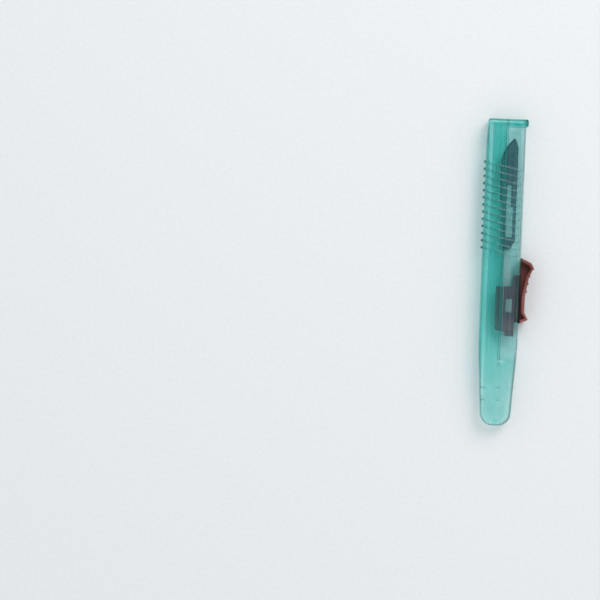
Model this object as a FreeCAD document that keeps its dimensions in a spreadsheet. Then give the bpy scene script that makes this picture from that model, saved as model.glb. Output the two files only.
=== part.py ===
"""Single-use scalpel with a retractable blade, as a parametric document in millimetres.

The sheath lies on one flat side: X points to the thumb side, Y to the nose and Z up.
The origin is the middle of the lower flat side, on the centreline of the sheath.
"""
import FreeCAD, Part
import math
import os

import Sketcher

SIZES = {
    "sheath_length": 118.0,
    "sheath_width": 14.7,
    "sheath_thickness": 7.6,
    "edge_round": 1.6,
    "nose_setback": 0.42,
    "nose_setback_length": 9.5,
    "nose_corner": 0.5,
    "tail_taper_length": 31.0,
    "tail_taper_blend": 40.0,
    "tail_width": 11.2,
    "tail_corner": 4.9,
    "tail_thin_length": 24.0,
    "tail_thin_depth": 1.5,
    "lip_length": 2.9,
    "lip_reach": 0.9,
    "lip_height": 5.0,
    "lip_round": 0.8,
    "panel_start": 15.2,
    "panel_length": 37.6,
    "panel_edge": 6.1,
    "panel_depth": 0.25,
    "rib_start": 18.3,
    "rib_pitch": 2.75,
    "rib_count": 13,
    "rib_width": 0.8,
    "rib_reach": 0.95,
    "rib_slant": 12.0,
    "channel_edge": 2.35,
    "channel_height": 1.2,
    "channel_length": 86.0,
    "step_offset": 0.6,
    "cavity_height": 4.0,
    "cavity_end": 92.8,
    "cavity_round": 0.5,
    "rail_width": 0.5,
    "groove_depth": 0.3,
    "nose_wall": 2.7,
    "spine_wall": 1.5,
    "slot_height": 2.8,
    "detent_from_nose": 58.1,
    "detent_length": 1.0,
    "detent_height": 0.3,
    "stop_length": 0.8,
    "locating_pin_radius": 0.8,
    "locating_pin_height": 1.2,
    "rear_pin_from_nose": 95.0,
    "front_pin_from_nose": 5.2,
    "front_pin_offset": 4.7,
    "tail_pin_from_tail": 2.2,
    "peg_width": 1.8,
    "notch_from_tail": 9.8,
    "notch_length": 4.8,
    "notch_edge": 4.4,
    "notch_height": 2.0,
    "blade_thickness": 0.4,
    "blade_tip_from_nose": 7.1,
    "blade_tip_offset": 3.4,
    "blade_spine": 4.95,
    "blade_belly": 1.8,
    "blade_belly_length": 11.4,
    "blade_point_length": 4.8,
    "blade_edge_length": 24.4,
    "blade_heel": 1.25,
    "blade_shank_edge": 0.85,
    "blade_shank_step": 1.1,
    "blade_length": 43.5,
    "blade_rear_slant": 3.7,
    "blade_rear_break": 2.9,
    "blade_rear_rise": 0.65,
    "bevel_width": 0.85,
    "bevel_sweep": 80.0,
    "edge_thickness": 0.06,
    "blade_slot_from_rear": 5.2,
    "blade_slot_narrow_length": 8.6,
    "blade_slot_length": 20.3,
    "blade_slot_edge": 1.05,
    "blade_slot_narrow": 1.8,
    "blade_slot_wide": 2.7,
    "blade_notch_offset": 0.35,
    "blade_notch_width": 0.5,
    "blade_notch_depth": 1.8,
    "holder_edge": 1.1,
    "holder_width": 2.75,
    "holder_thickness": 1.2,
    "holder_tail_from_nose": 83.0,
    "holder_corner": 1.0,
    "boss_rise": 0.3,
    "spacer_rise": 0.45,
    "slider_front_from_nose": 64.3,
    "slider_plate_length": 17.2,
    "slider_length": 19.2,
    "slider_plate_edge": 1.65,
    "slider_plate_corner": 1.4,
    "slider_round": 0.3,
    "slider_core_edge": 1.0,
    "slider_tail_edge": 2.5,
    "shoulder_edge": 3.95,
    "latch_length": 4.4,
    "latch_width": 0.9,
    "latch_corner": 0.7,
    "window_edge": 2.2,
    "window_width": 2.6,
    "window_setback": 4.7,
    "window_length": 5.3,
    "drive_boss_rise": 1.5,
    "neck_length": 18.1,
    "thumb_front_overhang": 6.6,
    "thumb_width": 6.6,
    "thumb_crest": 12.5,
    "thumb_crest_setback": 3.4,
    "thumb_crest_round": 1.3,
    "thumb_shoulder": 11.2,
    "thumb_shoulder_setback": 1.6,
    "thumb_saddle": 10.75,
    "thumb_saddle_setback": 7.1,
    "thumb_saddle_round": 3.0,
    "thumb_land": 9.42,
    "thumb_land_setback": 14.7,
    "thumb_land_round": 9.0,
    "thumb_kick_setback": 20.9,
    "thumb_kick_round": 2.0,
    "thumb_heel": 10.9,
    "thumb_heel_setback": 23.6,
    "thumb_heel_round": 0.3,
    "thumb_length": 25.1,
    "thumb_rim": 1.15,
    "thumb_side_depth": 2.3,
    "thumb_edge_round": 0.55,
    "ridge_radius": 0.42,
    "ridge_pitch": 2.95,
    "ridge_setback": 6.9,
    "ridge_count": 3,
    "crest_ridge": 12.1,
    "travel": 36.0,
    "slide_clearance": 0.15,
    "neck_clearance": 0.2,
    "thumb_clearance": 0.25,
    "fit_clearance": 0.1,
    "mouth_clearance": 0.25,
    "stop_clearance": 0.4,
    "pin_clearance": 0.05,
    "overrun": 3.0,
}


class Dim:
    """A number together with the sheet expression that gives it."""

    def __init__(self, value, text):
        self.value = float(value)
        self.text = text

    def __add__(self, other):
        other = as_dim(other)
        return Dim(self.value + other.value, f"({self.text} + {other.text})")

    def __sub__(self, other):
        other = as_dim(other)
        return Dim(self.value - other.value, f"({self.text} - {other.text})")

    def __mul__(self, other):
        other = as_dim(other)
        return Dim(self.value * other.value, f"({self.text} * {other.text})")

    def __truediv__(self, other):
        other = as_dim(other)
        return Dim(self.value / other.value, f"({self.text} / {other.text})")

    def __neg__(self):
        return Dim(-self.value, f"(-1 * {self.text})")


def as_dim(value):
    """Numbers may stand beside sizes in a formula."""
    if isinstance(value, Dim):
        return value
    return Dim(value, str(value))


def make_sheet(doc):
    """One cell with an alias for each driving size."""
    sheet = doc.addObject("Spreadsheet::Sheet", "Sizes")
    for row, (alias, value) in enumerate(SIZES.items(), start=1):
        sheet.set(f"A{row}", alias)
        sheet.set(f"B{row}", str(value))
        sheet.setAlias(f"B{row}", alias)
    doc.recompute()


def size(alias):
    return Dim(SIZES[alias], f"Sizes.{alias}")


UP = FreeCAD.Vector(0, 0, 1)
TOLERANCE = 1e-4

doc = FreeCAD.newDocument("Scalpel")
make_sheet(doc)

# Planes and stations that several pieces share
nose = size("sheath_length") / 2
half_width = size("sheath_width") / 2
half_thickness = size("sheath_thickness") / 2
parting = half_thickness
cavity_half = size("cavity_height") / 2
channel_half = size("channel_height") / 2
slot_half = size("slot_height") / 2
cavity_spine = half_width - size("spine_wall")
cavity_start = nose - size("nose_wall")
blade_half = size("blade_thickness") / 2
tip_y = nose - size("blade_tip_from_nose")
blade_rear = tip_y - size("blade_length")
slot_rear = blade_rear + size("blade_slot_from_rear")
slot_front = slot_rear + size("blade_slot_length")
slot_waist = slot_front - size("blade_slot_narrow_length")
holder_front = slot_front + size("fit_clearance")
holder_far = size("holder_edge") + size("holder_width")
holder_top = parting - blade_half
core_front = nose - size("slider_front_from_nose")
core_rear = core_front - size("slider_length")
plate_rear = core_front - size("slider_plate_length")
neck_front = core_front + size("latch_length")
neck_rear = neck_front - size("neck_length")
thumb_front = neck_front + size("thumb_front_overhang")
thumb_base = half_width + size("thumb_clearance")
window_front = core_front - size("window_setback")
window_rear = window_front - size("window_length")
stop_face = core_rear - size("stop_clearance")
body_slot_front = neck_front + size("travel") + size("stop_clearance")
notch_rear = size("notch_from_tail") - nose
notch_front = notch_rear + size("notch_length")


def make_body(name):
    body = doc.addObject("PartDesign::Body", name)
    body.Label = name
    return body


def origin_feature(body, role):
    for feature in body.Origin.OriginFeatures:
        if feature.Role == role:
            return feature
    raise ValueError(role)


def bind(item, prop, dim):
    item.setExpression(prop, as_dim(dim).text)


def flat_sketch(body, name, height, role="XY_Plane"):
    """A sketch on one of the body's planes, moved along the plane's normal."""
    sketch = body.newObject("Sketcher::SketchObject", name)
    sketch.AttachmentSupport = [(origin_feature(body, role), "")]
    sketch.MapMode = "FlatFace"
    bind(sketch, "AttachmentOffset.Base.z", height)
    return sketch


def set_value(sketch, constraint, dim):
    index = sketch.addConstraint(constraint)
    sketch.setExpression(f"Constraints[{index}]", as_dim(dim).text)


def pin_point(sketch, edge, point, x, y):
    """Hold a point of the sketch at x, y from its origin."""
    x = as_dim(x)
    y = as_dim(y)
    set_value(sketch, Sketcher.Constraint("DistanceX", -1, 1, edge, point, x.value), x)
    set_value(sketch, Sketcher.Constraint("DistanceY", -1, 1, edge, point, y.value), y)


def corner_layout(before, here, after, radius):
    """Where a rounding of this radius leaves the two sides, its centre and its sense."""
    back = (before - here).normalize()
    ahead = (after - here).normalize()
    half_angle = back.getAngle(ahead) / 2
    bisector = (back + ahead).normalize()
    reach = radius / math.tan(half_angle)
    centre = here + bisector * (radius / math.sin(half_angle))
    left_turn = back.cross(ahead).z < 0
    return here + back * reach, here + ahead * reach, centre, left_turn


def outline(sketch, corners):
    """A closed outline of straight sides; a corner (x, y, radius) is rounded."""
    specs = []
    for corner in corners:
        radius = as_dim(corner[2]) if len(corner) > 2 else None
        specs.append((as_dim(corner[0]), as_dim(corner[1]), radius))
    points = [FreeCAD.Vector(x.value, y.value, 0) for x, y, radius in specs]
    count = len(specs)
    layouts = []
    for i, (x, y, radius) in enumerate(specs):
        if radius is None:
            layouts.append((points[i], points[i], None, None))
        else:
            neighbours = (points[i - 1], points[i], points[(i + 1) % count])
            layouts.append(corner_layout(*neighbours, radius.value))
    sides = []
    for i in range(count):
        start = layouts[i][1]
        end = layouts[(i + 1) % count][0]
        sides.append(sketch.addGeometry(Part.LineSegment(start, end), False))
    for i, (x, y, radius) in enumerate(specs):
        side_in = sides[i - 1]
        side_out = sides[i]
        if radius is None:
            sketch.addConstraint(Sketcher.Constraint("Coincident", side_in, 2, side_out, 1))
            pin_point(sketch, side_out, 1, x, y)
            continue
        entry, leave, centre, left_turn = layouts[i]
        first, last = (entry, leave) if left_turn else (leave, entry)
        ring = Part.Circle(centre, UP, radius.value)
        arc = sketch.addGeometry(
            Part.ArcOfCircle(ring, ring.parameter(first), ring.parameter(last)), False)
        entry_end = 1 if left_turn else 2
        leave_end = 2 if left_turn else 1
        apex = sketch.addGeometry(Part.Point(points[i]), True)
        pin_point(sketch, apex, 1, x, y)
        sketch.addConstraint(Sketcher.Constraint("PointOnObject", apex, 1, side_in))
        sketch.addConstraint(Sketcher.Constraint("PointOnObject", apex, 1, side_out))
        sketch.addConstraint(Sketcher.Constraint("Tangent", side_in, 2, arc, entry_end))
        sketch.addConstraint(Sketcher.Constraint("Tangent", arc, leave_end, side_out, 1))
        set_value(sketch, Sketcher.Constraint("Radius", arc, radius.value), radius)
    return sides


def rectangle(sketch, x_low, x_high, y_low, y_high):
    return outline(sketch, [(x_low, y_low), (x_high, y_low), (x_high, y_high), (x_low, y_high)])


def circle(sketch, x, y, radius):
    centre = FreeCAD.Vector(as_dim(x).value, as_dim(y).value, 0)
    ring = sketch.addGeometry(
        Part.Circle(centre, UP, as_dim(radius).value), False)
    pin_point(sketch, ring, 3, x, y)
    set_value(sketch, Sketcher.Constraint("Radius", ring, as_dim(radius).value), radius)


def feature(kind, body, name, sketch, length, downwards=False, middle=False):
    """A pad or pocket of a sketch, upwards unless it is told otherwise."""
    item = body.newObject(f"PartDesign::{kind}", name)
    item.Profile = sketch
    if middle:
        item.SideType = "Symmetric"
    elif kind == "Pad":
        item.Reversed = downwards
    else:
        item.Reversed = not downwards
    bind(item, "Length", length)
    sketch.Visibility = False
    doc.recompute()
    if near(item.Shape.Volume, volume_before(body)):
        raise RuntimeError(f"{name} changes nothing")
    return item


def volume_before(body):
    """Volume of the body without its newest feature."""
    steps = [item for item in body.Group if item.isDerivedFrom("PartDesign::Feature")]
    if len(steps) < 2:
        return 0.0
    return steps[-2].Shape.Volume


def pad(body, name, sketch, length, downwards=False, middle=False):
    return feature("Pad", body, name, sketch, length, downwards, middle)


def pocket(body, name, sketch, length, downwards=False, middle=False):
    return feature("Pocket", body, name, sketch, length, downwards, middle)


def round_edges(body, name, base, radius, wanted):
    """Round the edges of the last feature that the test accepts."""
    edges = [f"Edge{i}" for i, edge in enumerate(base.Shape.Edges, start=1) if wanted(edge)]
    item = body.newObject("PartDesign::Fillet", name)
    item.Base = (base, edges)
    bind(item, "Radius", radius)
    doc.recompute()
    return item


def near(value, target):
    return abs(value - as_dim(target).value) < TOLERANCE


def sheath_outline(sketch):
    """Straight sheath with a set-back nose on the belly side and a narrower round tail."""
    tail = -nose
    tail_half = size("tail_width") / 2
    taper = tail + size("tail_taper_length")
    belly_nose = -half_width + size("nose_setback")
    blend = size("tail_taper_blend")
    return outline(sketch, [
        (half_width, nose),
        (belly_nose, nose, size("nose_corner")),
        (-half_width, nose - size("nose_setback_length")),
        (-half_width, taper, blend),
        (-tail_half, tail, size("tail_corner")),
        (tail_half, tail, size("tail_corner")),
        (half_width, taper, blend),
    ])


def make_shell(name, upper):
    """Half of the sheath. It is built outwards from the parting plane."""
    body = make_body(name)
    side = 1 if upper else -1
    down = not upper

    sketch = flat_sketch(body, f"{name}_outline", parting)
    sheath_outline(sketch)
    pad(body, f"{name}_blank", sketch, half_thickness, down)

    # The tail gets thinner towards its end
    outer = parting + half_thickness * side
    thin_start = -nose + size("tail_thin_length")
    thin_end = -nose - size("overrun")
    slope_depth = size("tail_thin_depth") * (size("tail_thin_length") + size("overrun"))
    slope_depth = slope_depth / size("tail_thin_length")
    sketch = flat_sketch(body, f"{name}_tail_slope", 0, "YZ_Plane")
    outline(sketch, [
        (thin_start, outer),
        (thin_end, outer - slope_depth * side),
        (thin_end, outer),
    ])
    sloped = pocket(body, f"{name}_tail_cut", sketch, size("sheath_width") * 2, middle=True)

    def long_outer_edge(edge):
        box = edge.BoundBox
        inner_edge = near(box.ZMin, parting) or near(box.ZMax, parting)
        across = near(box.YLength, 0) and (near(box.YMin, nose) or near(box.YMin, thin_start))
        return not inner_edge and not across

    round_edges(body, f"{name}_round", sloped, size("edge_round"), long_outer_edge)

    # Sunk grip panel whose ribs come back up to the flat side
    panel_top = nose - size("panel_start")
    panel_end = panel_top - size("panel_length")
    sketch = flat_sketch(body, f"{name}_panel", outer)
    rectangle(sketch, -half_width - size("overrun"), size("panel_edge"), panel_end, panel_top)
    pocket(body, f"{name}_panel_cut", sketch, size("panel_depth"), not down)
    make_ribs(body, name, side)

    # Lip on the thumb side of the nose
    sketch = flat_sketch(body, f"{name}_lip", parting)
    lip_end = half_width + size("lip_reach")
    lip_rear = nose - size("lip_length")
    outline(sketch, [
        (half_width - size("spine_wall"), nose),
        (half_width - size("spine_wall"), lip_rear),
        (lip_end, lip_rear, size("lip_round")),
        (lip_end, nose, size("lip_round")),
    ])
    pad(body, f"{name}_lip_pad", sketch, size("lip_height") / 2, down)

    cut_cavity(body, name, down, side)
    if upper:
        make_pin_holes(body, name)
    else:
        make_pins(body, name)
    return body


def make_ribs(body, name, side):
    """Slanted grip ribs that stand out of the belly edge."""
    sketch = body.newObject("Sketcher::SketchObject", f"{name}_rib")
    sketch.AttachmentSupport = [(origin_feature(body, "XZ_Plane"), "")]
    sketch.MapMode = "FlatFace"
    turned = FreeCAD.Rotation(FreeCAD.Vector(0, -1, 0), SIZES["rib_slant"])
    sketch.AttachmentOffset = FreeCAD.Placement(FreeCAD.Vector(0, 0, 0), turned)
    bind(sketch, "AttachmentOffset.Base.z", size("rib_start") - nose)
    bind(sketch, "AttachmentOffset.Rotation.Angle", size("rib_slant"))
    outer = parting + half_thickness * side
    crest = -half_width - size("rib_reach")
    outline(sketch, [
        (size("panel_edge"), parting),
        (size("panel_edge"), outer),
        (crest, outer, size("edge_round") + size("rib_reach")),
        (crest, parting),
    ])
    rib = pad(body, f"{name}_rib_pad", sketch, size("rib_width"), middle=True)
    row = body.newObject("PartDesign::LinearPattern", f"{name}_rib_row")
    row.Originals = [rib]
    row.Direction = (origin_feature(body, "Y_Axis"), [""])
    row.Reversed = True
    row.Mode = "Spacing"
    bind(row, "Offset", size("rib_pitch"))
    bind(row, "Occurrences", size("rib_count"))
    body.Tip = row
    doc.recompute()


def cut_cavity(body, name, down, side):
    """The stepped cavity, its mouth and the slot in the thumb side."""
    step = size("step_offset")
    channel_rear = nose - size("channel_length")
    cavity_rear = nose - size("cavity_end")
    beyond = nose + size("overrun")
    floor = parting + cavity_half * side

    sketch = flat_sketch(body, f"{name}_cavity", parting)
    rectangle(sketch, step, cavity_spine, cavity_rear, cavity_start)
    hollow = pocket(body, f"{name}_cavity_cut", sketch, cavity_half, down)

    def long_floor_edge(edge):
        box = edge.BoundBox
        return near(box.ZMin, floor) and near(box.ZMax, floor) and near(box.XLength, 0)

    round_edges(body, f"{name}_cavity_round", hollow, size("cavity_round"), long_floor_edge)
    guide_holder(body, name, side, floor, cavity_rear)

    sketch = flat_sketch(body, f"{name}_channel", parting)
    rectangle(sketch, -size("channel_edge"), cavity_spine, channel_rear, beyond)
    pocket(body, f"{name}_channel_cut", sketch, channel_half, down)

    if side > 0:
        mouth_depth = blade_half + size("boss_rise") + size("mouth_clearance")
    else:
        mouth_depth = blade_half + size("holder_thickness") + size("mouth_clearance")
    sketch = flat_sketch(body, f"{name}_mouth", parting)
    rectangle(sketch, size("holder_edge") - size("mouth_clearance"),
              holder_far + size("mouth_clearance"), cavity_start - size("fit_clearance"), beyond)
    pocket(body, f"{name}_mouth_cut", sketch, mouth_depth, down)

    sketch = flat_sketch(body, f"{name}_slot", parting)
    rectangle(sketch, cavity_spine - size("fit_clearance"), half_width + size("overrun"),
              stop_face, body_slot_front)
    pocket(body, f"{name}_slot_cut", sketch, slot_half, down)

    # Opening in the belly edge of the tail
    sketch = flat_sketch(body, f"{name}_notch", parting)
    rectangle(sketch, -half_width - size("overrun"), -size("notch_edge"), notch_rear, notch_front)
    pocket(body, f"{name}_notch_cut", sketch, size("notch_height") / 2, down)

    # Low rib that the slider snaps over, and the wall that it is drawn back to
    detent_middle = nose - size("detent_from_nose")
    inner_edge = holder_far + size("mouth_clearance")
    sketch = flat_sketch(body, f"{name}_detent", floor)
    rectangle(sketch, inner_edge, cavity_spine,
              detent_middle - size("detent_length") / 2, detent_middle + size("detent_length") / 2)
    pad(body, f"{name}_detent_pad", sketch, size("detent_height"), not down)

    sketch = flat_sketch(body, f"{name}_stop", floor)
    rectangle(sketch, inner_edge, cavity_spine, stop_face - size("stop_length"), stop_face)
    pad(body, f"{name}_stop_pad", sketch, cavity_half, not down)


def guide_holder(body, name, side, floor, cavity_rear):
    """Two rails under the holder in the lower shell, and a groove over it in the upper one."""
    low = size("holder_edge")
    if side > 0:
        sketch = flat_sketch(body, f"{name}_groove", floor)
        rectangle(sketch, low, holder_far, cavity_rear, cavity_start)
        pocket(body, f"{name}_groove_cut", sketch, size("groove_depth"))
        return
    rail_height = holder_top - size("holder_thickness") - size("slide_clearance") - floor
    sketch = flat_sketch(body, f"{name}_rails", floor)
    rectangle(sketch, low, low + size("rail_width"), cavity_rear, cavity_start)
    rectangle(sketch, holder_far - size("rail_width"), holder_far, cavity_rear, cavity_start)
    pad(body, f"{name}_rail_pad", sketch, rail_height)


def locate(body, name, gap, shape_feature, length):
    """Round pins and the oblong tail peg, or their sockets when a gap is added all round."""
    middle = size("step_offset")
    pins = {
        "front": (-size("front_pin_offset"), nose - size("front_pin_from_nose")),
        "rear": (middle, nose - size("rear_pin_from_nose")),
        "tail": (as_dim(0), size("tail_pin_from_tail") - nose),
    }
    for place, (x, y) in pins.items():
        sketch = flat_sketch(body, f"{name}_{place}_sketch", parting)
        circle(sketch, x, y, size("locating_pin_radius") + gap)
        shape_feature(body, f"{name}_{place}", sketch, length)
    peg_half = size("peg_width") / 2 + gap
    sketch = flat_sketch(body, f"{name}_peg_sketch", parting)
    rectangle(sketch, middle - peg_half, middle + peg_half, notch_rear - gap, notch_front + gap)
    shape_feature(body, f"{name}_peg", sketch, length)


def make_pins(body, name):
    locate(body, f"{name}_pin", as_dim(0), pad, size("locating_pin_height"))


def make_pin_holes(body, name):
    depth = size("locating_pin_height") + size("fit_clearance")
    locate(body, f"{name}_socket", size("pin_clearance"), pocket, depth)


def slot_shape(sketch, gap):
    """Keyhole slot of the blade, or the boss in it when a gap is taken off all round."""
    low = size("blade_slot_edge") + gap
    narrow = size("blade_slot_edge") + size("blade_slot_narrow") - gap
    wide = size("blade_slot_edge") + size("blade_slot_wide") - gap
    end_round = size("blade_slot_narrow") / 2 - gap - size("pin_clearance")
    small_round = size("fit_clearance") * 3
    outline(sketch, [
        (low, slot_rear + gap, small_round),
        (wide, slot_rear + gap, small_round),
        (wide, slot_waist - gap, small_round),
        (narrow, slot_waist - gap),
        (narrow, slot_front - gap, end_round),
        (low, slot_front - gap, end_round),
    ])


def make_blade():
    """Blade with a round belly edge, ground on both sides, and a keyhole slot."""
    body = make_body("blade")
    spine = size("blade_spine")
    belly = -size("blade_belly")
    heel = -size("blade_heel")
    shank = -size("blade_shank_edge")
    tip = (size("blade_tip_offset"), tip_y)
    point_end = (spine, tip_y - size("blade_point_length"))
    belly_end = (belly, tip_y - size("blade_belly_length"))
    heel_end = (heel, tip_y - size("blade_edge_length"))
    shank_start = (shank, tip_y - size("blade_edge_length") - size("blade_shank_step"))
    rear_belly = (shank, blade_rear)
    rear_spine = (spine, blade_rear + size("blade_rear_slant"))
    notch_left = -size("blade_notch_offset")
    notch_right = notch_left + size("blade_notch_width")
    notch_top = blade_rear + size("blade_notch_depth")
    rear_break = (size("blade_rear_break"), blade_rear + size("blade_rear_rise"))

    sketch = flat_sketch(body, "blade_outline", parting - blade_half)
    arc_through(sketch, tip, belly_end, belly_end[1], True)
    straight = [belly_end, heel_end, shank_start, rear_belly, (notch_left, blade_rear),
                (notch_left, notch_top), (notch_right, notch_top),
                (notch_right, blade_rear), rear_break, rear_spine, point_end]
    for start, end in zip(straight, straight[1:]):
        line = sketch.addGeometry(
            Part.LineSegment(vector(start), vector(end)), False)
        pin_point(sketch, line, 1, *start)
        pin_point(sketch, line, 2, *end)
    arc_through(sketch, point_end, tip, point_end[1], False)
    pad(body, "blade_plate", sketch, size("blade_thickness"))

    sketch = flat_sketch(body, "blade_slot", parting)
    slot_shape(sketch, as_dim(0))
    pocket(body, "blade_slot_cut", sketch, size("blade_thickness") * 4, middle=True)
    for face, side in (("top", 1), ("under", -1)):
        grind_bevel(body, face, side, tip, belly_end, heel_end)
    return body


def bevel_section(body, name, side, edge_x, y):
    """What the grinding wheel takes off one face of the blade, as a section across the edge."""
    edge_z = parting + size("edge_thickness") / 2 * side
    face_z = parting + blade_half * side
    clear_z = parting + size("blade_thickness") * side
    clear_x = edge_x - size("bevel_width")
    sketch = flat_sketch(body, name, -y, "XZ_Plane")
    outline(sketch, [
        (clear_x, edge_z), (edge_x, edge_z), (edge_x + size("bevel_width"), face_z),
        (edge_x + size("bevel_width"), clear_z), (clear_x, clear_z),
    ])
    return sketch


def grind_bevel(body, face, side, tip, belly_end, heel_end):
    """A cone along the round belly and a plane along the straight edge behind it."""
    dx = tip[0] - belly_end[0]
    dy = tip[1] - belly_end[1]
    axis_x = belly_end[0] + (dx * dx + dy * dy) / (dx * 2)
    sketch = bevel_section(body, f"bevel_{face}_belly", side, belly_end[0], belly_end[1])
    axis = sketch.addGeometry(Part.LineSegment(
        FreeCAD.Vector(axis_x.value, 0, 0), FreeCAD.Vector(axis_x.value, parting.value, 0)), True)
    pin_point(sketch, axis, 1, axis_x, as_dim(0))
    pin_point(sketch, axis, 2, axis_x, parting)
    round_cut = body.newObject("PartDesign::Groove", f"bevel_{face}_round")
    round_cut.Profile = sketch
    round_cut.ReferenceAxis = (sketch, ["Axis0"])
    round_cut.Reversed = True
    bind(round_cut, "Angle", size("bevel_sweep"))
    doc.recompute()

    front = bevel_section(body, f"bevel_{face}_front", side, belly_end[0], belly_end[1])
    rear = bevel_section(body, f"bevel_{face}_rear", side, heel_end[0], heel_end[1])
    straight_cut = body.newObject("PartDesign::SubtractiveLoft", f"bevel_{face}_straight")
    straight_cut.Profile = front
    straight_cut.Sections = [rear]
    straight_cut.Ruled = True
    doc.recompute()


def vector(point):
    return FreeCAD.Vector(point[0].value, point[1].value, 0)


def arc_through(sketch, start, end, centre_y, bulge_left):
    """Arc between two points whose centre is level with the end that is tangent to the side."""
    level = end if bulge_left else start
    other = start if bulge_left else end
    dx = other[0].value - level[0].value
    dy = other[1].value - level[1].value
    centre_x = level[0].value + (dx * dx + dy * dy) / (2 * dx)
    centre = FreeCAD.Vector(centre_x, centre_y.value, 0)
    ring = Part.Circle(centre, UP, abs(centre_x - level[0].value))
    arc = sketch.addGeometry(
        Part.ArcOfCircle(ring, ring.parameter(vector(start)), ring.parameter(vector(end))), False)
    pin_point(sketch, arc, 1, *start)
    pin_point(sketch, arc, 2, *end)
    set_value(sketch, Sketcher.Constraint("DistanceY", -1, 1, arc, 3, centre_y.value), centre_y)


def make_holder():
    """Strip that carries the blade on a keyhole boss and is driven by the slider."""
    body = make_body("blade_holder")
    low = size("holder_edge")
    tail = nose - size("holder_tail_from_nose")
    corner = size("holder_corner")
    sketch = flat_sketch(body, "holder_strip", holder_top)
    outline(sketch, [
        (low, tail), (holder_far, tail),
        (holder_far, holder_front, corner), (low, holder_front, corner),
    ])
    pad(body, "holder_strip_pad", sketch, size("holder_thickness"), True)

    sketch = flat_sketch(body, "holder_boss", holder_top)
    slot_shape(sketch, size("fit_clearance"))
    pad(body, "holder_boss_pad", sketch, size("blade_thickness") + size("boss_rise"))

    # Raised length between the blade's rear end and the slider
    sketch = flat_sketch(body, "holder_spacer", holder_top)
    rectangle(sketch, low, holder_far, core_front + size("fit_clearance"),
              blade_rear - size("fit_clearance"))
    pad(body, "holder_spacer_pad", sketch, size("blade_thickness") + size("spacer_rise"))

    sketch = flat_sketch(body, "holder_drive_boss", holder_top)
    rectangle(sketch, size("window_edge") + size("fit_clearance"),
              size("window_edge") + size("window_width") - size("fit_clearance"),
              window_rear + size("fit_clearance"), window_front - size("fit_clearance"))
    pad(body, "holder_drive_boss_pad", sketch, blade_half + size("drive_boss_rise"))
    return body


def make_slider():
    """Thumb slider: a body in the cavity, a neck through the slot and a thumb pad."""
    body = make_body("thumb_slider")
    core_half = cavity_half - size("slide_clearance")
    shoulder_half = cavity_half - size("detent_height") - size("neck_clearance")
    plate_half = channel_half - size("slide_clearance")
    neck_half = slot_half - size("neck_clearance")
    inner_spine = cavity_spine - size("slide_clearance")
    core_edge = size("slider_core_edge")
    shoulder = size("shoulder_edge")

    sketch = flat_sketch(body, "slider_core", parting)
    rectangle(sketch, core_edge, shoulder, plate_rear, core_front)
    core = pad(body, "slider_core_pad", sketch, core_half * 2, middle=True)

    def core_top_edge(edge):
        return near(edge.BoundBox.ZMin, parting + core_half)

    round_edges(body, "slider_core_round", core, size("slider_round"), core_top_edge)

    sketch = flat_sketch(body, "slider_shoulder", parting)
    rectangle(sketch, size("slider_tail_edge"), inner_spine, core_rear, core_front)
    pad(body, "slider_shoulder_pad", sketch, shoulder_half * 2, middle=True)

    sketch = flat_sketch(body, "slider_plate", parting)
    plate_edge = -size("slider_plate_edge")
    outline(sketch, [
        (plate_edge, core_front), (plate_edge, plate_rear, size("slider_plate_corner")),
        (core_edge + size("fit_clearance"), plate_rear), (core_edge + size("fit_clearance"), core_front),
    ])
    plate = pad(body, "slider_plate_pad", sketch, plate_half * 2, middle=True)

    def plate_edge_line(edge):
        box = edge.BoundBox
        level = near(box.ZMin, parting + plate_half) or near(box.ZMax, parting - plate_half)
        beside_core = box.XMax < core_edge.value + TOLERANCE and not near(box.XMin, core_edge)
        return level and near(box.ZLength, 0) and beside_core

    round_edges(body, "slider_plate_round", plate, size("slider_round"), plate_edge_line)

    sketch = flat_sketch(body, "slider_latch", parting)
    latch_edge = inner_spine - size("latch_width")
    outline(sketch, [
        (latch_edge, core_front), (inner_spine, core_front),
        (inner_spine, neck_front), (latch_edge, neck_front, size("latch_corner")),
    ])
    pad(body, "slider_latch_pad", sketch, shoulder_half * 2, middle=True)

    sketch = flat_sketch(body, "slider_neck", parting)
    rectangle(sketch, latch_edge + size("latch_width") / 2, thumb_base + size("fit_clearance"),
              neck_rear, neck_front)
    pad(body, "slider_neck_pad", sketch, neck_half * 2, middle=True)

    # Underside channel for the holder, open downwards
    sketch = flat_sketch(body, "slider_holder_channel", holder_top)
    rectangle(sketch, core_edge, holder_far + size("fit_clearance"),
              core_rear - size("overrun"), core_front + size("fit_clearance"))
    pocket(body, "slider_holder_channel_cut", sketch, size("cavity_height"), True)

    sketch = flat_sketch(body, "slider_window", parting)
    rectangle(sketch, size("window_edge"), size("window_edge") + size("window_width"),
              window_rear, window_front)
    pocket(body, "slider_window_cut", sketch, size("cavity_height") * 2, middle=True)

    make_thumb_pad(body)
    return body


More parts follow.
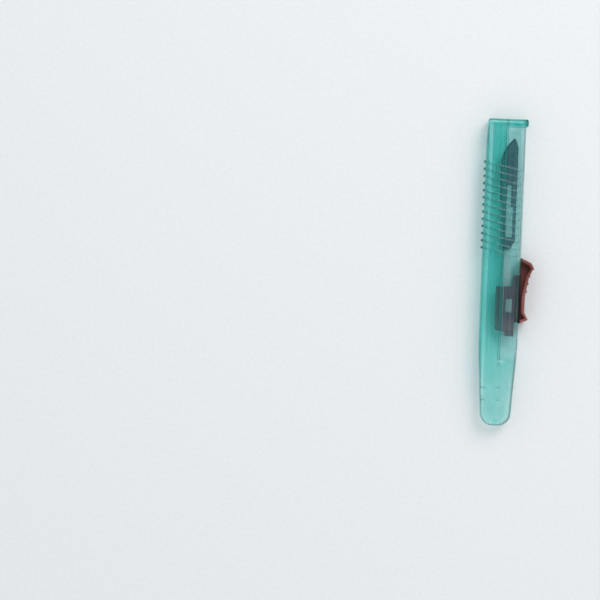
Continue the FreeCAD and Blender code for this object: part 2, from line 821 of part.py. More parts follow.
def make_thumb_pad(body):
    """Curved pad: high at the front, ridged slope, level land and a kicked-up heel."""
    crest = (size("thumb_crest"), thumb_front - size("thumb_crest_setback"))
    shoulder = (size("thumb_shoulder"), thumb_front - size("thumb_shoulder_setback"))
    saddle = (size("thumb_saddle"), thumb_front - size("thumb_saddle_setback"))
    land = (size("thumb_land"), thumb_front - size("thumb_land_setback"))
    kick = (size("thumb_land"), thumb_front - size("thumb_kick_setback"))
    heel = (size("thumb_heel"), thumb_front - size("thumb_heel_setback"))
    rear = thumb_front - size("thumb_length")
    half_pad = size("thumb_width") / 2

    sketch = flat_sketch(body, "thumb_profile", parting)
    outline(sketch, [
        (thumb_base, thumb_front),
        (thumb_base, rear),
        (*heel, size("thumb_heel_round")),
        (*kick, size("thumb_kick_round")),
        (*land, size("thumb_land_round")),
        (*saddle, size("thumb_saddle_round")),
        (*crest, size("thumb_crest_round")),
        shoulder,
    ])
    block = pad(body, "thumb_block", sketch, half_pad * 2, middle=True)

    def side_edge(edge):
        box = edge.BoundBox
        level = near(box.ZLength, 0)
        on_side = near(box.ZMin, parting + half_pad) or near(box.ZMin, parting - half_pad)
        return level and on_side and not near(box.XMax, thumb_base)

    round_edges(body, "thumb_round", block, size("thumb_edge_round"), side_edge)

    # Both sides are hollowed behind a rim that follows the thumb face
    rim = size("thumb_rim")
    inside = thumb_base - size("fit_clearance")
    for face, side in (("top", 1), ("under", -1)):
        sketch = flat_sketch(body, f"thumb_hollow_{face}", parting + half_pad * side)
        outline(sketch, [
            (inside, thumb_front - rim),
            (inside, rear + rim),
            (heel[0] - rim, heel[1] + rim / 2),
            (kick[0] - rim, kick[1]),
            (land[0] - rim, land[1]),
            (saddle[0] - rim, saddle[1]),
            (crest[0] - rim, crest[1] - rim / 2),
            (shoulder[0] - rim / 2, shoulder[1] - rim),
        ])
        pocket(body, f"thumb_hollow_{face}_cut", sketch, size("thumb_side_depth"), side > 0)

    # Ridges across the slope under the thumb
    sketch = flat_sketch(body, "thumb_ridges", parting)
    crest_setback = size("ridge_setback") - size("ridge_pitch")
    circle(sketch, size("crest_ridge"), thumb_front - crest_setback, size("ridge_radius"))
    slope = (saddle[0] - land[0]) / (size("thumb_land_setback") - size("thumb_saddle_setback"))
    for i in range(int(SIZES["ridge_count"])):
        along = size("ridge_setback") + size("ridge_pitch") * i
        surface = saddle[0] - slope * (along - size("thumb_saddle_setback"))
        circle(sketch, surface, thumb_front - along, size("ridge_radius"))
    pad(body, "thumb_ridge_pad", sketch, (half_pad - size("thumb_edge_round")) * 2, middle=True)


def check(bodies):
    for item in doc.Objects:
        if "Invalid" in item.State or "Error" in item.State:
            raise RuntimeError(f"{item.Name} failed: {item.State}")
    for body in bodies:
        if body.Shape.isNull() or not body.Shape.isValid() or len(body.Shape.Solids) != 1:
            raise RuntimeError(f"{body.Label} has no single valid solid")


bodies = [
    make_shell("sheath_lower_shell", False),
    make_shell("sheath_upper_shell", True),
    make_slider(),
    make_holder(),
    make_blade(),
]
doc.recompute()
check(bodies)
os.makedirs("parts", exist_ok=True)
for body in bodies:
    body.Shape.exportStep(f"parts/{body.Label}.step")
    box = body.Shape.BoundBox
    print(body.Label, round(body.Shape.Volume, 1), [round(v, 2) for v in (
        box.XMin, box.XMax, box.YMin, box.YMax, box.ZMin, box.ZMax)])
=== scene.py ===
"""Looks of a single-use scalpel with a retractable blade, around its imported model, in metres."""

import math

import bpy
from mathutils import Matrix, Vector


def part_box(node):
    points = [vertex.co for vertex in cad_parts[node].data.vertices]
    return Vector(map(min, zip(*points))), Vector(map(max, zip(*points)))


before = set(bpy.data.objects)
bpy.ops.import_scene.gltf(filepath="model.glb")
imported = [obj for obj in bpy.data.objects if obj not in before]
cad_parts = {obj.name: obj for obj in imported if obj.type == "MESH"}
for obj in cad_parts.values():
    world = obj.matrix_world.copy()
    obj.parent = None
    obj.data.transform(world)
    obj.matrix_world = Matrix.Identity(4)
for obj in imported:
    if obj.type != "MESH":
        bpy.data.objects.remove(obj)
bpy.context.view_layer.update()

MM = 0.001
SHELLS = ("sheath_lower_shell", "sheath_upper_shell")

# Where the photograph's frame lies on the object
FRAME_WIDTH = 231.1 * MM
LEAN = math.radians(2.34)
AIM_LEFT = 77.3 * MM
AIM_DOWN = 10.65 * MM
LENS = 135.0
SENSOR = 36.0

# Paper under the object, and a square lamp that faces it
FLOOR_GAP = 0.1 * MM
FLOOR_HALF = 3.0
LAMP_PLACE = (0.6, 0.95, 0.95)
LAMP_SIZE = 0.8
LAMP_WATTS = 12.0
LAMP_COLOUR = (1.0, 0.98, 0.96)

# Soft light of the room, from below the horizon to straight overhead
DOME = [(0.0, (0.5, 0.51, 0.53)), (0.3, (0.8, 0.82, 0.84)),
        (0.78, (0.84, 0.86, 0.88)), (0.9, (0.085, 0.115, 0.125))]
DOME_STRENGTH = 1.28

# Places across the sheath in millimetres, from its belly edge to its thumb edge
BELLY_EDGE = -7.15
BELLY_WALL = -6.2
# Limits across of a painted highlight band just inside the belly edge
HIGHLIGHT_BAND_START = -6.0
HIGHLIGHT_BAND_END = -4.7
STEP = 0.6
GUIDE = 3.7
THUMB_WALL = 6.0
THUMB_EDGE = 7.3

# Places along the sheath in millimetres behind its nose
LIP_END = 2.8
DEEP_START = 14.0
DEEP_END = 54.0
FADE_START = 60.0
CAVITY_END = 93.3
NOTCH_FRONT = 103.4
NOTCH_REAR = 108.2
FADE_END = 112.0
END_PIN = 116.4

# Half heights of the hollows inside the sheath, in millimetres
CAVITY_HALF = 2.36
TAIL_HALF = 1.36
NOTCH_HALF = 1.04

# Grip ribs of the sheath, in millimetres
RIB_START = 18.3
RIB_PITCH = 2.75
RIB_COUNT = 13
RIB_HALF = 0.4
RIB_SLOPE = math.tan(math.radians(12))
PANEL_EDGE = 6.1

# Light that one face of the full depth of green plastic lets through
FULL_TINT = (0.645, 0.985, 0.965)
DEEPEST = 3.0
TINT_STOPS = 13

# Colours of the plastic's milky part: over and under the blade, darkest and palest
UPPER_CLOUD = [(0.3, (0.04, 0.58, 0.52)), (0.7, (0.07, 0.64, 0.57))]
LOWER_CLOUD = [(0.3, (0.1, 0.5, 0.45)), (0.7, (0.15, 0.58, 0.52))]
THIN_UPPER_CLOUD = (0.16, 0.78, 0.84)
# Colour of the painted highlight lines on the ribs' crests, the lip, the guide and the step's end
PAINTED_HIGHLIGHT_COLOUR = (0.45, 0.8, 0.8)

# Milky colour under the thin side, by the share of 100 mm behind the nose. It is paler than the plastic's
# own milk, as painted light that brightens the thin side and the tail, palest near the nose.
CLOUD_LENGTH = 100.0
THIN_LOWER_CLOUD_AND_LIGHT = [(0.14, (0.85, 1.0, 1.0)), (0.28, (0.46, 0.86, 0.82)),
                    (0.6, (0.46, 0.84, 0.8)), (0.84, (0.62, 0.98, 0.95))]

# Colours of the slider's body and thumb pad
MAROON = [(0.3, (0.067, 0.02, 0.033)), (0.7, (0.093, 0.027, 0.042))]
MAROON_REAR = (0.15, 0.09, 0.105)
# Painted highlight colour along the edge of the slider's core
MAROON_HIGHLIGHT = (0.2, 0.16, 0.19)
# Painted shade on the neck, down in the sheath's slot
NECK_SHADE = (0.008, 0.01, 0.008)
RIM_REAR = (0.225, 0.073, 0.067)
RIM_FRONT = (0.155, 0.041, 0.031)
# Painted shade on the thumb pad's faces that turn outward, away from the sheath
THUMB_FACE_SHADE = (0.12, 0.032, 0.028)
# Painted shade down in the thumb pad's hollows
HOLLOW_SHADE = (0.1, 0.019, 0.018)
RUBBED_RED = (0.26, 0.085, 0.08)

# Colours of the holder, the blade and the paper
HOLDER_MILK = [(0.3, (0.68, 0.74, 0.74)), (0.7, (0.78, 0.83, 0.82))]
HOLDER_MILK_FRONT = (0.35, 0.66, 0.63)
HOLDER_TINT = (0.92, 0.99, 0.99)
HOLDER_TINT_FRONT = (0.74, 0.95, 0.94)
STEEL = [(0.3, (0.17, 0.255, 0.28)), (0.7, (0.24, 0.35, 0.385))]
STEEL_EDGE = (0.12, 0.13, 0.14)
PAPER = [(0.3, (0.745, 0.757, 0.768)), (0.7, (0.775, 0.787, 0.798))]

BLACK = (0.0, 0.0, 0.0)
WHITE = (1.0, 1.0, 1.0)


class Nodes:
    """Short calls for building one material's node tree."""

    def __init__(self, name):
        self.material = bpy.data.materials.new(name)
        self.material.use_nodes = True
        self.tree = self.material.node_tree
        self.tree.nodes.clear()

    def add(self, kind, **settings):
        node = self.tree.nodes.new(kind)
        for key, value in settings.items():
            setattr(node, key, value)
        return node

    def feed(self, socket, value):
        """A socket takes another node's output, a number or a colour."""
        if isinstance(value, bpy.types.NodeSocket):
            self.tree.links.new(value, socket)
        elif isinstance(value, tuple) and len(value) == 3 and socket.type == "RGBA":
            socket.default_value = (*value, 1)
        else:
            socket.default_value = value

    def math(self, operation, a, b=0.0, clamp=False):
        node = self.add("ShaderNodeMath", operation=operation, use_clamp=clamp)
        self.feed(node.inputs[0], a)
        self.feed(node.inputs[1], b)
        return node.outputs[0]

    def chain(self, operation, first, *others):
        for other in others:
            first = self.math(operation, first, other)
        return first

    def add_up(self, *values):
        return self.chain("ADD", *values)

    def times(self, *values):
        return self.chain("MULTIPLY", *values)

    def largest(self, *values):
        return self.chain("MAXIMUM", *values)

    def less(self, value, taken):
        return self.math("SUBTRACT", value, taken)

    def size_of(self, value):
        return self.math("ABSOLUTE", value)

    def rise(self, value, low, high, start=0.0, end=1.0):
        """Goes smoothly from start to end while the value goes from low to high."""
        node = self.add("ShaderNodeMapRange", interpolation_type="SMOOTHSTEP")
        for socket, number in zip(node.inputs, (value, low, high, start, end)):
            self.feed(socket, number)
        return node.outputs[0]

    def fall(self, value, low, high):
        """Goes smoothly from 1 to 0 while the value goes from low to high."""
        return self.rise(value, low, high, 1.0, 0.0)

    def band(self, value, low, high, soft):
        """1 between low and high, 0 outside, with soft ends."""
        return self.times(self.rise(value, low - soft, low + soft),
                          self.fall(value, high - soft, high + soft))

    def vary(self, noise, start, end):
        """Goes from start to end with the noise."""
        return self.rise(noise, 0.3, 0.7, start, end)

    def mix(self, factor, a, b):
        node = self.add("ShaderNodeMix", data_type="RGBA", blend_type="MIX")
        self.feed(node.inputs[0], factor)
        self.feed(node.inputs[6], a)
        self.feed(node.inputs[7], b)
        return node.outputs[2]

    def mix_shader(self, factor, a, b):
        node = self.add("ShaderNodeMixShader")
        self.feed(node.inputs[0], factor)
        self.feed(node.inputs[1], a)
        self.feed(node.inputs[2], b)
        return node.outputs[0]

    def noise(self, vector, scale, detail=2.0, roughness=0.5):
        node = self.add("ShaderNodeTexNoise")
        self.feed(node.inputs["Vector"], vector)
        self.feed(node.inputs["Scale"], scale)
        self.feed(node.inputs["Detail"], detail)
        self.feed(node.inputs["Roughness"], roughness)
        return node.outputs[0]

    def stretch(self, vector, scale):
        node = self.add("ShaderNodeVectorMath", operation="MULTIPLY")
        self.feed(node.inputs[0], vector)
        self.feed(node.inputs[1], scale)
        return node.outputs[0]

    def bump(self, height, distance, normal=None):
        node = self.add("ShaderNodeBump")
        self.feed(node.inputs["Strength"], 1.0)
        self.feed(node.inputs["Distance"], distance)
        self.feed(node.inputs["Height"], height)
        if normal is not None:
            self.feed(node.inputs["Normal"], normal)
        return node.outputs[0]

    def ramp(self, value, stops):
        node = self.add("ShaderNodeValToRGB")
        fill_ramp(node.color_ramp, stops)
        self.feed(node.inputs[0], value)
        return node.outputs[0]

    def split(self, vector):
        node = self.add("ShaderNodeSeparateXYZ")
        self.feed(node.inputs[0], vector)
        return node.outputs

    def place(self):
        """The piece's own coordinates, in millimetres."""
        coordinates = self.add("ShaderNodeTexCoord").outputs["Object"]
        return self.stretch(coordinates, (1 / MM, 1 / MM, 1 / MM))

    def facing(self):
        """Which way the surface faces, in the piece's own directions."""
        return self.split(self.add("ShaderNodeTexCoord").outputs["Normal"])

    def clear(self, colour):
        node = self.add("ShaderNodeBsdfTransparent")
        self.feed(node.inputs["Color"], colour)
        return node.outputs[0]

    def gloss(self, roughness, normal):
        node = self.add("ShaderNodeBsdfGlossy")
        self.feed(node.inputs["Color"], WHITE)
        self.feed(node.inputs["Roughness"], roughness)
        self.feed(node.inputs["Normal"], normal)
        return node.outputs[0]

    def gloss_share(self, face_on):
        """How much light the surface itself throws back: little face on, most of it edge on."""
        facing = self.add("ShaderNodeLayerWeight")
        self.feed(facing.inputs["Blend"], 0.5)
        edge_on = self.math("POWER", facing.outputs["Facing"], 5.0)
        return self.add_up(self.times(edge_on, 0.6), face_on)

    def principled(self, colour, roughness, normal, specular=0.5, metallic=0.0):
        node = self.add("ShaderNodeBsdfPrincipled")
        self.feed(node.inputs["Base Color"], colour)
        self.feed(node.inputs["Roughness"], roughness)
        self.feed(node.inputs["Metallic"], metallic)
        self.feed(node.inputs["Normal"], normal)
        node.inputs["Specular IOR Level"].default_value = specular
        return node.outputs[0]

    def finish(self, shader):
        out = self.add("ShaderNodeOutputMaterial")
        self.feed(out.inputs["Surface"], shader)
        return self.material


def fill_ramp(ramp, stops):
    elements = ramp.elements
    while len(elements) < len(stops):
        elements.new(0.5)
    for element, (place, colour) in zip(elements, stops):
        element.position = place
        element.color = (*colour, 1)


class SheathPlastic(Nodes):
    """Clear green moulded plastic. Its depth of colour follows the walls that lie behind each place; it also
    has painted shade where walls stand on edge, a painted highlight band along the belly edge and painted
    highlight lines.
    """

    def __init__(self, name, low, high):
        super().__init__(name)
        self.in_mm = self.place()
        self.x, y, z = self.split(self.in_mm)
        middle = (low.z + high.z) / 2 / MM
        self.behind_nose = self.less(high.y / MM, y)
        self.off_middle = self.size_of(self.less(z, middle))
        self.above = self.rise(z, middle - 0.1, middle + 0.1)
        self.level = self.size_of(self.facing()[2])

        self.mottling = self.noise(self.stretch(self.in_mm, (1.0, 0.25, 1.0)), 0.35)
        self.fine = self.noise(self.in_mm, 6.0, 3.0)
        self.flow = self.noise(self.stretch(self.in_mm, (1.0, 0.12, 1.0)), 0.9)
        self.streaks = self.noise(self.stretch(self.in_mm, (1.0, 0.02, 0.0)), 1.6)

        self.thin = self.thin_side()
        # Painted highlight: a light band just inside the belly edge, from near the nose to the notch
        self.highlight_band = self.times(self.band(self.x, HIGHLIGHT_BAND_START, HIGHLIGHT_BAND_END, 0.1),
                                 self.band(self.behind_nose, 1.0, NOTCH_REAR - 1.2, 1.5))
        self.off_rib, self.in_row = self.rib_phase()
        self.on_rib = self.times(self.in_row, self.band(self.off_rib, -RIB_HALF, RIB_HALF, 0.1))
        self.notch_ends = self.ends_of_notch()
        self.inside = self.walls_inside()
        self.outside = self.less(1.0, self.inside)
        seam = self.times(self.fall(self.off_middle, 0.01, 0.02), self.rise(self.level, 0.98, 0.99))
        self.off_seam = self.less(1.0, seam)

    def thin_side(self):
        """1 on the thumb side of the step, where the cavity leaves thin walls."""
        return self.times(self.rise(self.x, STEP, STEP + 0.15),
                          self.rise(self.behind_nose, LIP_END - 0.1, LIP_END + 0.1),
                          self.fall(self.behind_nose, CAVITY_END - 3.3, CAVITY_END + 2.7))

    def rib_phase(self):
        """Distance from the nearest rib's middle line in millimetres, and 1 along the row of ribs."""
        along = self.less(self.behind_nose, self.times(self.x, RIB_SLOPE))
        turns = self.math("DIVIDE", self.less(along, RIB_START), RIB_PITCH)
        from_middle = self.less(turns, self.math("ROUND", turns))
        in_row = self.band(turns, -0.5, RIB_COUNT - 0.5, 0.05)
        return self.times(from_middle, RIB_PITCH), in_row

    def ends_of_notch(self):
        """1 at the two end walls of the notch in the belly edge, which the tail peg shares."""
        front = self.band(self.behind_nose, NOTCH_FRONT - 0.2, NOTCH_FRONT + 0.2, 0.06)
        rear = self.band(self.behind_nose, NOTCH_REAR - 0.2, NOTCH_REAR + 0.2, 0.06)
        return self.largest(front, rear)

    def hollow(self, half_height, across, along):
        """1 on the walls of a hollow of that half height, whose limits are given both ways."""
        return self.times(self.fall(self.off_middle, half_height - 0.02, half_height + 0.02), across, along)

    def walls_inside(self):
        """1 on the walls of the cavity, the tail and the notch, and on the sides of the ribs."""
        x, behind_nose = self.x, self.behind_nose
        in_front = self.hollow(CAVITY_HALF, self.band(x, BELLY_WALL, THUMB_EDGE - 0.05, 0.02),
                               self.times(self.rise(behind_nose, 0.02, 0.05),
                                          self.fall(behind_nose, CAVITY_END - 0.1, CAVITY_END + 0.1)))
        in_tail = self.hollow(TAIL_HALF, self.band(x, -2.0, 2.0, 0.02),
                              self.band(behind_nose, CAVITY_END, END_PIN + 0.6, 0.05))
        in_notch = self.hollow(NOTCH_HALF, 1.0,
                               self.band(behind_nose, NOTCH_FRONT - 0.05, NOTCH_REAR + 0.05, 0.02))
        rib_side = self.times(self.in_row, self.fall(self.level, 0.3, 0.6),
                              self.band(x, -7.0, PANEL_EDGE + 0.02, 0.02))
        return self.largest(in_front, in_tail, in_notch, rib_side)

    def depth(self):
        """Depth of colour, 1 being the full depth. Walls inside add almost none, and the seam none."""
        x, behind_nose = self.x, self.behind_nose
        edge = self.times(self.band(x, BELLY_EDGE, BELLY_WALL, 0.1),
                          self.rise(behind_nose, FADE_START, FADE_START + 20.0, 0.15, 1.1),
                          self.rise(behind_nose, NOTCH_FRONT, NOTCH_FRONT + 0.3, 1.0, 0.3))
        # The painted highlight band takes colour away, less towards the tail
        highlight_band = self.times(self.highlight_band,
                            self.rise(behind_nose, FADE_START, FADE_START + 30.0, -0.42, -0.2))
        by_blade = self.times(self.band(behind_nose, DEEP_START, DEEP_END, 3.0),
                              self.fall(x, STEP, STEP + 0.15))
        nose_wall = self.times(self.fall(behind_nose, LIP_END - 0.2, LIP_END),
                               self.rise(x, 1.5, 6.0, 0.1, 0.55))
        lip = self.times(self.rise(x, THUMB_EDGE, THUMB_EDGE + 0.15),
                         self.fall(behind_nose, LIP_END + 0.1, LIP_END + 0.3))
        from_pin = self.less(behind_nose, END_PIN)
        from_pin = self.math("SQRT", self.add_up(self.times(x, x), self.times(from_pin, from_pin)))
        pin = self.rise(from_pin, 0.4, 1.3, 1.5, 0.0)
        tail = self.times(self.rise(x, 0.4, 2.4, 0.0, -0.3),
                          self.rise(behind_nose, CAVITY_END - 0.3, CAVITY_END + 4.7))
        front = self.rise(behind_nose, 5.0, 9.0, -0.12, 0.0)
        across = self.add_up(1.0, self.times(self.thin, -0.65), self.times(by_blade, 0.12),
                             self.times(lip, 2.0), highlight_band, edge, nose_wall, front, pin, tail)
        depth = self.times(across, self.rise(behind_nose, FADE_START, FADE_END, 1.0, 0.36),
                           self.vary(self.mottling, 0.94, 1.06))
        wall = self.times(self.inside, self.rise(self.level, 0.5, 0.95, 0.12, 0.0))
        return self.times(self.add_up(self.times(depth, self.outside), wall), self.off_seam)

    def wall_lines(self):
        """Shade where a wall inside stands on edge under the surface: steps, guides, ends and stops."""
        x, behind_nose = self.x, self.behind_nose
        before_end = self.fall(behind_nose, CAVITY_END - 0.7, CAVITY_END + 3.3)
        behind_lip = self.rise(behind_nose, LIP_END, LIP_END + 0.2)
        step = self.times(self.band(x, STEP - 0.18, STEP + 0.12, 0.06), before_end)
        thumb_wall = self.times(self.band(x, THUMB_WALL - 0.2, THUMB_WALL, 0.06), before_end)
        nose_face = self.fall(behind_nose, 0.3, 0.45)
        belly_wall = self.times(self.band(x, BELLY_WALL, BELLY_WALL + 0.15, 0.06), behind_lip)
        # Painted shade along the inner end of the painted highlight band
        highlight_band_edge = self.times(self.band(x, HIGHLIGHT_BAND_END, HIGHLIGHT_BAND_END + 0.2, 0.06), behind_lip)
        notch = self.times(self.notch_ends, self.fall(x, -4.6, -4.3))
        peg = self.times(self.notch_ends, self.band(x, -0.2, 1.4, 0.2))
        lip = self.rise(x, THUMB_EDGE, THUMB_EDGE + 0.15)
        belly_edge = self.times(self.fall(x, BELLY_WALL - 0.1, BELLY_WALL + 0.1), behind_lip)
        # Painted shade where the nose's set-back ends on the belly edge
        setback_shade = self.times(self.band(behind_nose, 6.4, 9.6, 0.2), self.fall(x, -6.8, -6.6))
        slot_edge = self.times(self.band(x, 6.62, 6.82, 0.06), behind_lip)
        shares = [(step, 0.5), (thumb_wall, 0.08), (nose_face, 0.3), (belly_wall, 0.12), (highlight_band_edge, 0.05),
                  (notch, 0.35), (peg, 0.22), (lip, 0.36), (belly_edge, 0.1), (setback_shade, 0.2),
                  (slot_edge, 0.12)]
        return self.add_up(*(self.times(line, share) for line, share in shares))

    def rib_shade(self):
        """Shade on the ribs, darkest at their ends."""
        x = self.x
        outer_end = self.fall(x, -7.5, -7.3)
        belly_end = self.band(x, -6.9, -6.1, 0.15)
        thumb_end = self.band(x, PANEL_EDGE - 0.7, PANEL_EDGE, 0.15)
        # Light rib shade from the painted highlight band towards the blade
        over_highlight_band = self.band(x, -6.1, -2.6, 0.8)
        shares = [(outer_end, 0.36), (belly_end, 0.22), (thumb_end, 0.2), (over_highlight_band, 0.07)]
        return self.times(self.on_rib, self.add_up(*(self.times(part, share) for part, share in shares)))

    def shade(self):
        """How dark each place is: walls on edge, the sheath's rounded outline and the ribs."""
        tail_rim = self.times(self.rise(self.behind_nose, FADE_START + 20.0, FADE_START + 30.0),
                              self.rise(self.x, 0.0, 5.0, 0.18, 0.33))
        thumb_rim = self.times(self.rise(self.x, 6.6, 6.8), 0.16)
        rim = self.times(self.band(self.level, 0.1, 0.84, 0.05), self.largest(tail_rim, thumb_rim))
        rounded = self.times(self.band(self.level, 0.1, 0.65, 0.08), 0.16)
        upright = self.times(self.band(self.level, 0.1, 0.4, 0.08), 0.3)
        shade = self.add_up(self.wall_lines(), rounded, upright, rim, self.rib_shade())
        return self.times(shade, self.outside, self.off_seam)

    def painted_highlight_lines(self):
        """Painted highlight lines: 1 on the ribs' crests and the lip's line, less on the guide, more where
        the step ends.
        """
        x, behind_nose = self.x, self.behind_nose
        crest = self.times(self.in_row, self.band(self.off_rib, 0.1, 0.36, 0.08),
                           self.band(x, -2.4, PANEL_EDGE - 0.2, 0.3))
        guide = self.times(self.band(x, GUIDE, GUIDE + 0.25, 0.08),
                           self.band(behind_nose, 8.0, CAVITY_END - 3.3, 1.0))
        lip = self.times(self.band(behind_nose, LIP_END - 0.2, LIP_END + 0.05, 0.08),
                         self.rise(x, -0.8, -0.4))
        step_end = self.times(self.band(behind_nose, CAVITY_END - 0.4, CAVITY_END + 0.2, 0.25),
                              self.band(x, -0.5, 2.4, 0.6))
        return self.largest(crest, self.times(guide, 0.2), self.times(lip, 0.8), self.times(step_end, 1.3))

    def surface(self):
        """Normal with the mould's fine grain, the plastic's flow and the ribs' crests."""
        crest = self.times(self.in_row, self.fall(self.x, PANEL_EDGE, PANEL_EDGE + 0.1),
                           self.fall(self.size_of(self.off_rib), 0.0, RIB_HALF),
                           self.rise(self.off_middle, 3.3, 3.5))
        normal = self.bump(self.fine, 0.004 * MM)
        normal = self.bump(self.flow, 0.05 * MM, normal)
        return self.bump(crest, 0.2 * MM, normal)

    def cloud_colour(self, thin_and_highlight_share, painted_highlights):
        """Colour of the milky part of the plastic, with painted highlight lines, and painted light below the
        thin side and the tail.
        """
        upper = self.mix(thin_and_highlight_share, self.ramp(self.mottling, UPPER_CLOUD), THIN_UPPER_CLOUD)
        # Painted highlight lines in a pale colour
        upper = self.mix(painted_highlights, upper, PAINTED_HIGHLIGHT_COLOUR)
        # Painted light: the thin side, the painted highlight band and the tail take the paler milk below
        paler_share = self.largest(thin_and_highlight_share, self.rise(self.behind_nose, FADE_START, FADE_END - 8.0, 0.0, 0.75))
        thin_lower_and_light = self.ramp(self.math("DIVIDE", self.behind_nose, CLOUD_LENGTH), THIN_LOWER_CLOUD_AND_LIGHT)
        lower = self.mix(paler_share, self.ramp(self.mottling, LOWER_CLOUD), thin_lower_and_light)
        return self.mix(self.above, lower, upper)

    def haze(self, thin_and_highlight_share, painted_highlights):
        """Share of the milky part: streaky over the blade, thicker under it."""
        over = self.times(self.rise(thin_and_highlight_share, 0.0, 1.0, 0.12, 0.05),
                          self.rise(self.streaks, 0.35, 0.65, 0.6, 1.6),
                          self.rise(self.x, THUMB_WALL - 0.1, THUMB_WALL + 0.1, 1.0, 0.4))
        # Painted highlight lines take more of the milky part
        over = self.add_up(over, self.times(painted_highlights, 0.2))
        under = self.rise(thin_and_highlight_share, 0.0, 1.0, 0.3, 0.45)
        haze = self.add_up(self.times(over, self.above), self.times(under, self.less(1.0, self.above)))
        return self.times(haze, self.outside, self.off_seam)

    def tint(self):
        """Light that passes, by Beer's law, darkened by the shade."""
        stops = []
        for i in range(TINT_STOPS):
            share = i / (TINT_STOPS - 1)
            stops.append((share, tuple(channel ** (share * DEEPEST) for channel in FULL_TINT)))
        passed = self.ramp(self.math("DIVIDE", self.depth(), DEEPEST, clamp=True), stops)
        return self.mix(self.shade(), passed, BLACK)

    def build(self):
        normal = self.surface()
        painted_highlights = self.painted_highlight_lines()
        # Share of the thin side and of the painted highlight band, which take other milk and haze
        thin_and_highlight_share = self.largest(self.thin, self.highlight_band)
        cloud = self.principled(self.cloud_colour(thin_and_highlight_share, painted_highlights), self.vary(self.fine, 0.28, 0.4), normal,
                                specular=0.0)
        body = self.mix_shader(self.haze(thin_and_highlight_share, painted_highlights), self.clear(self.tint()), cloud)
        share = self.times(self.gloss_share(self.rise(self.inside, 0.0, 1.0, 0.04, 0.005)),
                           self.off_seam,
                           self.rise(self.above, 0.0, 1.0, 0.3, 1.0),
                           self.rise(self.on_rib, 0.0, 1.0, 1.0, 0.55))
        gloss = self.gloss(self.vary(self.flow, 0.1, 0.2), normal)
        return self.finish(self.mix_shader(share, body, gloss))


def slider_plastic(name, middle):
    """Opaque maroon plastic, redder on the thumb pad, with painted shade at the neck, in the pad's hollows
    and on its outward faces, and a painted highlight along the core's edge.
    """
    nodes = Nodes(name)
    in_mm = nodes.place()
    x, y, z = nodes.split(in_mm)
    across = nodes.facing()[0]
    cloud = nodes.noise(in_mm, 0.4, 3.0)
    grain = nodes.noise(in_mm, 5.0, 4.0, 0.6)
    rear = nodes.rise(y, -21.0, -16.0, 0.5, 0.0)
    # Painted highlight along the rounded edge of the slider's core
    line = nodes.times(nodes.band(x, 0.98, 1.32, 0.05), 0.8)
    # Painted shade on the neck, where it runs in the sheath's slot
    neck_shade = nodes.times(nodes.band(x, 5.9, 7.9, 0.1), 0.9)
    pad = nodes.rise(x, 7.7, 7.95)
    # Painted shade in the pad's hollows, near its middle plane
    hollow = nodes.times(pad, nodes.fall(nodes.size_of(nodes.less(z, middle)), 2.4, 3.1), 0.65)
    rubbed = nodes.times(nodes.rise(grain, 0.62, 0.8), 0.3)

    rim = nodes.mix(nodes.rise(y, -8.0, -1.0), RIM_REAR, RIM_FRONT)
    # Painted shade on the pad's faces that turn outward
    rim = nodes.mix(nodes.rise(across, 0.25, 0.8), rim, THUMB_FACE_SHADE)
    colour = nodes.mix(rear, nodes.ramp(cloud, MAROON), MAROON_REAR)
    colour = nodes.mix(line, colour, MAROON_HIGHLIGHT)
    colour = nodes.mix(neck_shade, colour, NECK_SHADE)
    colour = nodes.mix(pad, colour, rim)
    colour = nodes.mix(hollow, colour, HOLLOW_SHADE)
    colour = nodes.mix(rubbed, colour, RUBBED_RED)
    rough = nodes.vary(grain, 0.3, 0.46)
    return nodes.finish(nodes.principled(colour, rough, nodes.bump(grain, 0.015 * MM), specular=0.45))


def holder_plastic(name):
    """Natural, slightly milky plastic, greener where the green sheath and the blade shade it."""
    nodes = Nodes(name)
    in_mm = nodes.place()
    under_blade = nodes.rise(nodes.split(in_mm)[1], 5.0, 10.0)
    cloud = nodes.noise(nodes.stretch(in_mm, (1.0, 0.3, 1.0)), 0.6, 3.0)
    grain = nodes.noise(in_mm, 4.0, 3.0)
    colour = nodes.mix(nodes.times(under_blade, 0.6), nodes.ramp(cloud, HOLDER_MILK), HOLDER_MILK_FRONT)
    milky = nodes.principled(colour, nodes.vary(grain, 0.3, 0.42), nodes.bump(grain, 0.01 * MM))
    clear = nodes.clear(nodes.mix(under_blade, HOLDER_TINT, HOLDER_TINT_FRONT))
    return nodes.finish(nodes.mix_shader(nodes.vary(cloud, 0.17, 0.24), clear, milky))


def blade_steel(name):
    """Dark honed carbon steel, brushed across the blade and darker on its edges."""
    nodes = Nodes(name)
    in_mm = nodes.place()
    brushed = nodes.noise(nodes.stretch(in_mm, (1.0, 9.0, 1.0)), 1.2, 4.0, 0.6)
    cloud = nodes.noise(in_mm, 0.25, 3.0)
    edge = nodes.times(nodes.fall(nodes.size_of(nodes.facing()[2]), 0.985, 0.995), 0.8)
    colour = nodes.mix(edge, nodes.ramp(cloud, STEEL), STEEL_EDGE)
    rough = nodes.vary(brushed, 0.2, 0.34)
    return nodes.finish(nodes.principled(colour, rough, nodes.bump(brushed, 0.004 * MM), metallic=1.0))


def paper(name):
    nodes = Nodes(name)
    in_mm = nodes.place()
    grain = nodes.noise(in_mm, 0.8, 3.0)
    normal = nodes.bump(grain, 0.01 * MM)
    return nodes.finish(nodes.principled(nodes.ramp(grain, PAPER), 0.85, normal, specular=0.1))


def assign(node, material):
    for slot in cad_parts[node].material_slots:
        slot.material = material


def link(thing):
    bpy.context.scene.collection.objects.link(thing)


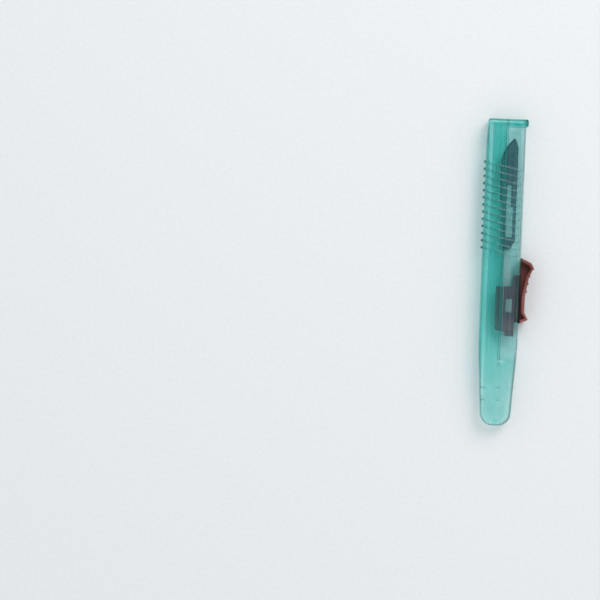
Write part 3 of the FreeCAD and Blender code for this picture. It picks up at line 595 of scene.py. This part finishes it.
def make_camera(height):
    """Looks straight down, square onto the flat side, with the object at the right of the frame."""
    right = Vector((math.cos(LEAN), math.sin(LEAN), 0))
    up = Vector((-math.sin(LEAN), math.cos(LEAN), 0))
    aim = -right * AIM_LEFT - up * AIM_DOWN
    data = bpy.data.cameras.new("camera")
    data.lens = LENS
    data.sensor_width = SENSOR
    data.clip_end = 10
    camera = bpy.data.objects.new("camera", data)
    camera.location = (aim.x, aim.y, height + FRAME_WIDTH * LENS / SENSOR)
    camera.rotation_euler = (0, 0, LEAN)
    link(camera)
    bpy.context.scene.camera = camera


def make_floor():
    """Pale paper just under the object's flat side."""
    mesh = bpy.data.meshes.new("floor")
    sides = [(-1, -1), (1, -1), (1, 1), (-1, 1)]
    corners = [(x * FLOOR_HALF, y * FLOOR_HALF, -FLOOR_GAP) for x, y in sides]
    mesh.from_pydata(corners, [], [(0, 1, 2, 3)])
    mesh.materials.append(paper("floor_paper"))
    floor = bpy.data.objects.new("floor", mesh)
    link(floor)


def make_lamp():
    """Square softbox that faces the object."""
    data = bpy.data.lights.new("key_softbox", "AREA")
    data.shape = "SQUARE"
    data.size = LAMP_SIZE
    data.energy = LAMP_WATTS
    data.color = LAMP_COLOUR
    lamp = bpy.data.objects.new("key_softbox", data)
    lamp.location = LAMP_PLACE
    lamp.rotation_euler = (-Vector(LAMP_PLACE)).to_track_quat("-Z", "Y").to_euler()
    link(lamp)


def make_room():
    """Pale room with a dark patch overhead, which keeps the glossy faces clear."""
    world = bpy.data.worlds.new("studio")
    bpy.context.scene.world = world
    world.use_nodes = True
    tree = world.node_tree
    tree.nodes.clear()
    direction = tree.nodes.new("ShaderNodeTexCoord")
    split = tree.nodes.new("ShaderNodeSeparateXYZ")
    dome = tree.nodes.new("ShaderNodeValToRGB")
    fill_ramp(dome.color_ramp, DOME)
    background = tree.nodes.new("ShaderNodeBackground")
    background.inputs["Strength"].default_value = DOME_STRENGTH
    out = tree.nodes.new("ShaderNodeOutputWorld")
    tree.links.new(direction.outputs["Generated"], split.inputs[0])
    tree.links.new(split.outputs["Z"], dome.inputs[0])
    tree.links.new(dome.outputs[0], background.inputs["Color"])
    tree.links.new(background.outputs[0], out.inputs["Surface"])


shell_low, shell_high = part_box(SHELLS[0])
shell_high.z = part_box(SHELLS[1])[1].z
make_camera((shell_low.z + shell_high.z) / 2)
make_floor()
make_lamp()
make_room()
bpy.context.scene.view_settings.view_transform = "Standard"

plastic = SheathPlastic("clear_green_plastic", shell_low, shell_high).build()
for shell in SHELLS:
    assign(shell, plastic)
assign("thumb_slider", slider_plastic("maroon_plastic", shell_high.z / 2 / MM))
assign("blade_holder", holder_plastic("natural_plastic"))
assign("blade", blade_steel("dark_honed_steel"))
